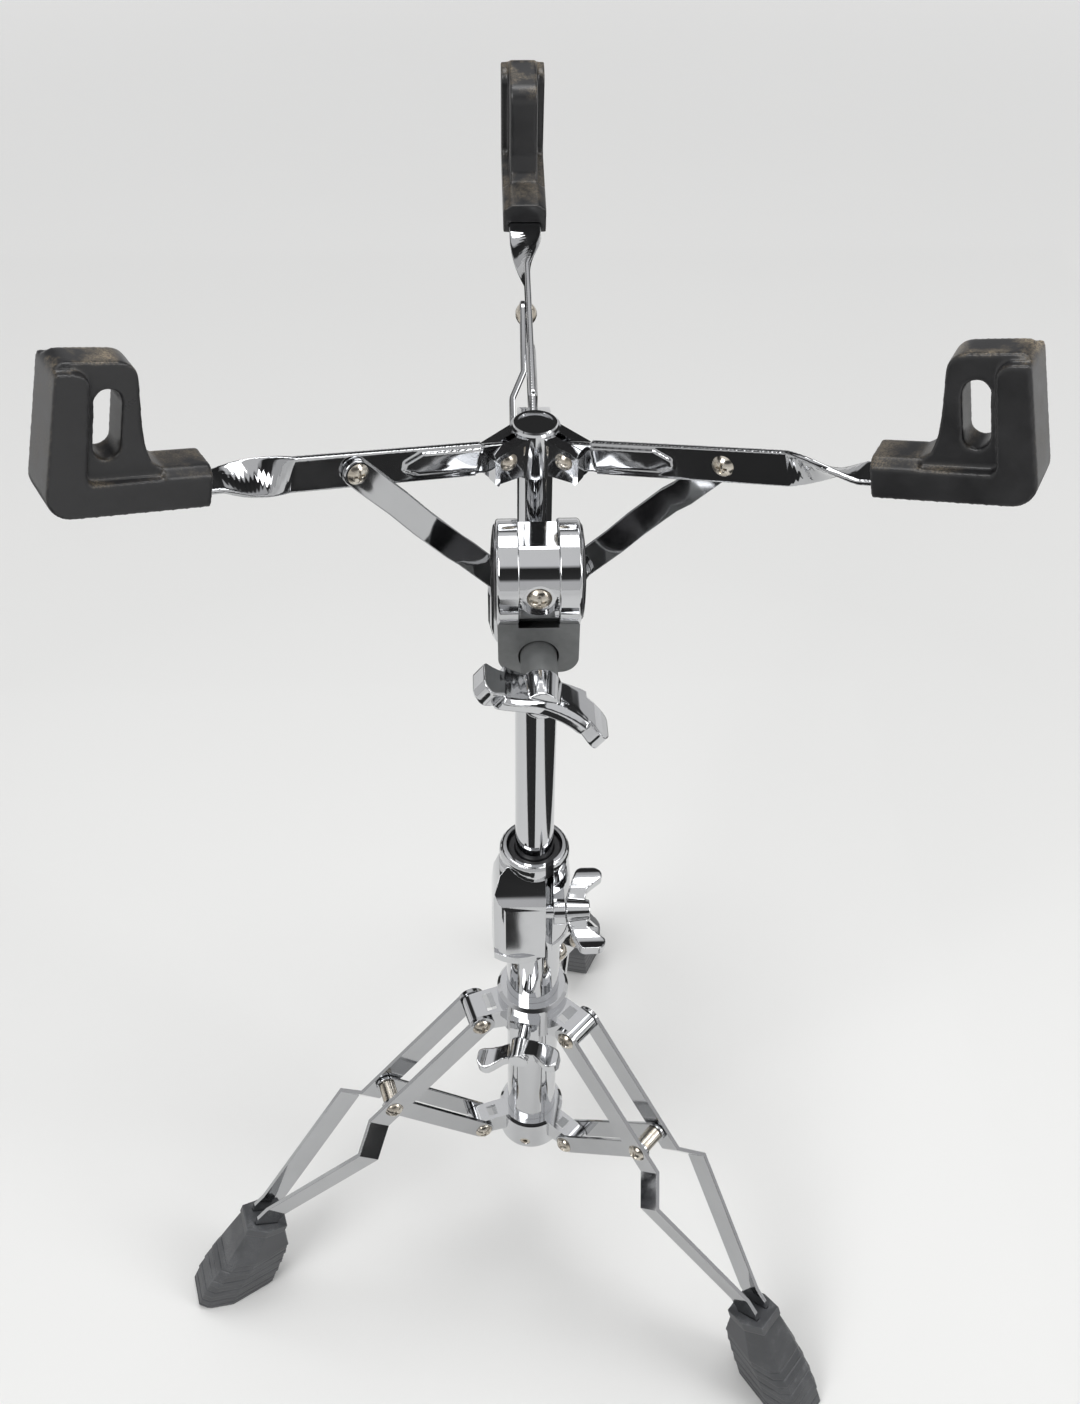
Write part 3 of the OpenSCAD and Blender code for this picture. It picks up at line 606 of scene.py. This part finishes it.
def box_cutter(name, middle, halves):
    """A slanted box, given by its middle and its three half edges."""
    bm = bmesh.new()
    bmesh.ops.create_cube(bm, size=2)
    turn = Matrix(halves).transposed().to_4x4()
    bmesh.ops.transform(bm, matrix=Matrix.Translation(middle) @ turn, verts=bm.verts)
    bmesh.ops.recalc_face_normals(bm, faces=bm.faces)
    return mesh_piece(name, bm)


def apply_modifiers(piece):
    """Bakes a piece's modifiers into its mesh."""
    bpy.context.view_layer.update()
    depsgraph = bpy.context.evaluated_depsgraph_get()
    mesh = bpy.data.meshes.new_from_object(piece.evaluated_get(depsgraph), depsgraph=depsgraph)
    piece.modifiers.clear()
    piece.data = mesh


# ---- operators ----


class STAND_OT_finishes(bpy.types.Operator):
    """Makes the stand's materials and gives them to the solids"""

    bl_idname = "stand.finishes"
    bl_label = "Finishes"

    def execute(self, context):
        FINISHES.update(make_finishes(context.scene.stand_finish))
        for name in NODES:
            finish_node(name)
        return {"FINISHED"}


class STAND_OT_castings(bpy.types.Operator):
    """Rounds the edges of the plated castings"""

    bl_idname = "stand.castings"
    bl_label = "Castings"

    def execute(self, context):
        width = context.scene.stand_edge.cast_round
        for name in (
            "lower_collar",
            "height_clamp",
            "leg_casting",
            "basket_hub",
            "tilter_block",
            "tilter_drum",
            "tilter_base",
        ):
            rounded(name, "cast_" + name, width)
        return {"FINISHED"}


class STAND_OT_strips(bpy.types.Operator):
    """Rounds the edges of the stamped legs, braces and struts, and smooths the twisted arms"""

    bl_idname = "stand.strips"
    bl_label = "Stamped strips"

    def execute(self, context):
        width = context.scene.stand_edge.strip_round
        for name in NODES:
            if name in ("arm_1", "arm_2", "arm_3"):
                moulded(name, "strip_" + name, context.scene.stand_edge.skin * 0.65, 20)
            elif SLOT_OF[name] == "chrome_strip":
                rounded(name, "strip_" + name, width, 2)
        return {"FINISHED"}


class STAND_OT_grips(bpy.types.Operator):
    """Moulds the rubber grips with soft corners"""

    bl_idname = "stand.grips"
    bl_label = "Grips"

    def execute(self, context):
        for i in (1, 2, 3):
            moulded("tip_%d" % i, "grip_%d" % i, context.scene.stand_edge.skin, 14, 0.4)
        return {"FINISHED"}


class STAND_OT_feet(bpy.types.Operator):
    """Moulds the rubber feet and presses their grooves"""

    bl_idname = "stand.feet"
    bl_label = "Feet"

    def execute(self, context):
        for i in (1, 2, 3):
            foot = moulded("foot_%d" % i, "rubber_foot_%d" % i, context.scene.stand_edge.skin * 0.7, 2)
            grooved(foot)
            foot.modifiers.new("thin", "DECIMATE").ratio = 0.5
            apply_modifiers(foot)
        return {"FINISHED"}


class STAND_OT_wings(bpy.types.Operator):
    """Smooths the wing bolts and the wing nut as castings"""

    bl_idname = "stand.wings"
    bl_label = "Wing grips"

    def execute(self, context):
        skin = context.scene.stand_edge.skin * 0.6
        for name in ("clamp_wing_bolt", "leg_wing_bolt"):
            moulded(name, "wing_" + name, skin, 9)
        moulded("tilter_wing_nut", "wing_tilter_wing_nut", skin, 12, added=saddle())
        return {"FINISHED"}


def saddle():
    """The S-shaped ridge that joins the two wings of the tilter's nut over its hub."""
    low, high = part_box("tilter_wing_nut")
    centre_z = (low[2] + high[2]) / 2
    back, front = high[1], low[1]
    skew = math.radians(SADDLE_SKEW)
    bm = bmesh.new()
    rings = []
    for i in range(-SADDLE_STEPS, SADDLE_STEPS + 1):
        along = i * SADDLE_STEP
        across = SADDLE_SWEEP * math.sin(math.radians(17 * along / 0.00353))
        tall = 0.76 + 0.22 * (abs(i) / SADDLE_STEPS) ** 1.5
        ring = []
        for side, depth in ((-1, 0), (1, 0), (1, tall - 0.1), (0.5, tall), (-0.5, tall), (-1, tall - 0.1)):
            flat = Vector((along, across + side * SADDLE_HALF, 0))
            turned = Matrix.Rotation(skew, 3, "Z") @ flat
            ring.append(bm.verts.new((turned.x, back + (front - back) * depth, centre_z + turned.y)))
        rings.append(ring)
    for first, second in zip(rings, rings[1:]):
        for k in range(6):
            bm.faces.new((first[k], first[(k + 1) % 6], second[(k + 1) % 6], second[k]))
    bm.faces.new(rings[0][::-1])
    bm.faces.new(rings[-1])
    bmesh.ops.recalc_face_normals(bm, faces=bm.faces)
    mesh = bpy.data.meshes.new("saddle")
    bm.to_mesh(mesh)
    bm.free()
    return mesh


class STAND_OT_screws(bpy.types.Operator):
    """Cuts the cross recesses into the heads of the screws and pins"""

    bl_idname = "stand.screws"
    bl_label = "Screw heads"

    def execute(self, context):
        for name in ("hub_pins", "arm_rivet_1", "arm_rivet_2", "arm_rivet_3"):
            crossed(name, "head_" + name, BASKET_AZIMUTHS)
        for name in ("casting_pins", "collar_pins", "leg_pin_1", "leg_pin_2", "leg_pin_3"):
            crossed(name, "head_" + name, TRIPOD_AZIMUTHS)
        crossed("tilter_screw", "head_tilter_screw", ())
        return {"FINISHED"}


class STAND_OT_stage(bpy.types.Operator):
    """Sets the floor, the lamps, the surroundings and the camera"""

    bl_idname = "stand.stage"
    bl_label = "Stage"

    def execute(self, context):
        stage = context.scene.stand_stage
        bm = bmesh.new()
        bmesh.ops.create_grid(bm, x_segments=1, y_segments=1, size=9)
        floor = mesh_piece("studio_floor", bm)
        floor.location.z = -0.0002
        paper = Finish("studio_paper").set(Roughness=0.75, Specular_IOR_Level=0.25)
        grain = paper.noise(3, 2)
        colour = tuple(stage.floor)
        shade = paper.mixed(grain, colour, tuple(c * 0.985 for c in colour))
        paper.link(shade, paper.shader.inputs["Base Color"])
        far_paper(paper)
        floor.data.materials.append(paper.material)
        for name, place_at, wide, tall, power in LAMPS:
            lamp(name, place_at, wide, tall, getattr(stage, power))
        surroundings()
        for card in CARDS:
            dark_card(*card)
        camera(stage)
        return {"FINISHED"}


def lamp(name, place_at, wide, tall, power):
    """A soft rectangular lamp aimed at the middle of the stand."""
    data = bpy.data.lights.new(name, "AREA")
    data.shape = "RECTANGLE"
    data.size = wide
    data.size_y = tall
    data.energy = power
    made = bpy.data.objects.new(name, data)
    bpy.context.scene.collection.objects.link(made)
    made.location = place_at
    aim = Vector(LAMP_AIM) - made.location
    made.rotation_mode = "QUATERNION"
    made.rotation_quaternion = aim.to_track_quat("-Z", "Y")


def far_paper(paper):
    """Keeps the floor as pale far away as it is in the lamps' light, for the eye, mirrors and glass."""
    away = paper.node("ShaderNodeVectorMath", operation="LENGTH")
    paper.link(paper.coordinates.outputs["Object"], away.inputs[0])
    rays = paper.node("ShaderNodeLightPath")
    seen = paper.math("MAXIMUM", rays.outputs["Is Camera Ray"], rays.outputs["Is Glossy Ray"])
    seen = paper.math("MAXIMUM", seen, rays.outputs["Is Transmission Ray"])
    glow = paper.math("MULTIPLY", paper.ranged(away.outputs["Value"], 0.7, 3.6, 0, 0.42), seen)
    paper.set(Emission_Color=(1, 1, 1))
    paper.link(glow, paper.shader.inputs["Emission Strength"])


def dark_card(name, middle, wide, deep):
    """A dark card on the floor that only mirror rays see: a painted dark reflection in the plated metal,
    hidden from the camera, casting no shadow and lighting nothing.
    """
    bm = bmesh.new()
    bmesh.ops.create_grid(bm, x_segments=1, y_segments=1, size=0.5)
    bmesh.ops.scale(bm, vec=(wide * 2, deep * 2, 1), verts=bm.verts)
    card = mesh_piece(name, bm)
    card.location = (*middle, 0.0002)
    # near-black colour that shows only in reflections: painted dark reflection for the plated metal
    dark_reflection = Finish(name).set(Roughness=0.9, Specular_IOR_Level=0.1)
    dark_reflection_tone = dark_reflection.mixed(dark_reflection.noise(9, 3), (0.02, 0.02, 0.02), (0.035, 0.035, 0.035))
    dark_reflection.link(dark_reflection_tone, dark_reflection.shader.inputs["Base Color"])
    card.data.materials.append(dark_reflection.material)
    card.visible_camera = False
    card.visible_diffuse = False
    card.visible_shadow = False
    card.visible_transmission = False


def surroundings():
    """A room that is pale near the floor and overhead, with a dark band between for the metal to mirror."""
    world = bpy.data.worlds.new("studio_room")
    bpy.context.scene.world = world
    world.use_nodes = True
    tree = world.node_tree
    background = tree.nodes["Background"]
    where = tree.nodes.new("ShaderNodeTexCoord")
    split = tree.nodes.new("ShaderNodeSeparateXYZ")
    tree.links.new(where.outputs["Generated"], split.inputs[0])
    ramp = tree.nodes.new("ShaderNodeValToRGB")
    tree.links.new(split.outputs["Z"], ramp.inputs["Fac"])
    steps = ramp.color_ramp.elements
    steps[0].position, steps[0].color = 0.0, (ROOM_LEVEL, ROOM_LEVEL, ROOM_LEVEL, 1)
    steps[1].position, steps[1].color = 1.0, (ROOM_OVERHEAD, ROOM_OVERHEAD, ROOM_OVERHEAD, 1)
    for position, value in ROOM:
        step = steps.new(position)
        step.color = (value, value, value * 1.01, 1)
    tree.links.new(ramp.outputs["Color"], background.inputs["Color"])
    background.inputs["Strength"].default_value = ROOM_STRENGTH


def camera(stage):
    """The camera in front of the stand, above it and looking down."""
    data = bpy.data.cameras.new("stand_camera")
    data.sensor_fit = "HORIZONTAL"
    data.sensor_width = 36
    data.lens = stage.lens
    data.clip_start = 0.01
    data.clip_end = 50
    made = bpy.data.objects.new("stand_camera", data)
    bpy.context.scene.collection.objects.link(made)
    level = Vector((math.sin(stage.turn), math.cos(stage.turn), 0))
    ahead = level * math.cos(stage.pitch) - Vector((0, 0, math.sin(stage.pitch)))
    right = Vector((math.cos(stage.turn), -math.sin(stage.turn), 0))
    up = right.cross(ahead)
    turned_right = right * math.cos(stage.roll) + up * math.sin(stage.roll)
    turned_up = up * math.cos(stage.roll) - right * math.sin(stage.roll)
    turn = Matrix((turned_right, turned_up, -ahead)).transposed().to_4x4()
    made.matrix_world = Matrix.Translation((stage.side, -stage.distance, stage.height)) @ turn
    bpy.context.scene.camera = made


class STAND_PT_panel(bpy.types.Panel):
    """Shows the stand's settings and the buttons of its steps"""

    bl_idname = "STAND_PT_panel"
    bl_label = "Snare Drum Stand"
    bl_space_type = "VIEW_3D"
    bl_region_type = "UI"
    bl_category = "Drum Stand"

    def draw(self, context):
        layout = self.layout
        for group in (context.scene.stand_finish, context.scene.stand_edge, context.scene.stand_stage):
            box = layout.box()
            for key in group.__annotations__:
                box.prop(group, key)
        for step in STEPS:
            layout.operator(step.bl_idname)


SETTINGS = (FinishSettings, EdgeSettings, StageSettings)
STEPS = (
    STAND_OT_finishes,
    STAND_OT_castings,
    STAND_OT_strips,
    STAND_OT_grips,
    STAND_OT_feet,
    STAND_OT_wings,
    STAND_OT_screws,
    STAND_OT_stage,
)


def register():
    for made in (*SETTINGS, *STEPS, STAND_PT_panel):
        bpy.utils.register_class(made)
    bpy.types.Scene.stand_finish = PointerProperty(type=FinishSettings)
    bpy.types.Scene.stand_edge = PointerProperty(type=EdgeSettings)
    bpy.types.Scene.stand_stage = PointerProperty(type=StageSettings)


def unregister():
    del bpy.types.Scene.stand_stage
    del bpy.types.Scene.stand_edge
    del bpy.types.Scene.stand_finish
    for made in reversed((*SETTINGS, *STEPS, STAND_PT_panel)):
        bpy.utils.unregister_class(made)


def main():
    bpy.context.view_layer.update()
    register()
    bpy.context.scene.view_settings.view_transform = "Standard"
    for step in STEPS:
        area, name = step.bl_idname.split(".")
        getattr(getattr(bpy.ops, area), name)()


if __name__ == "__main__":
    main()
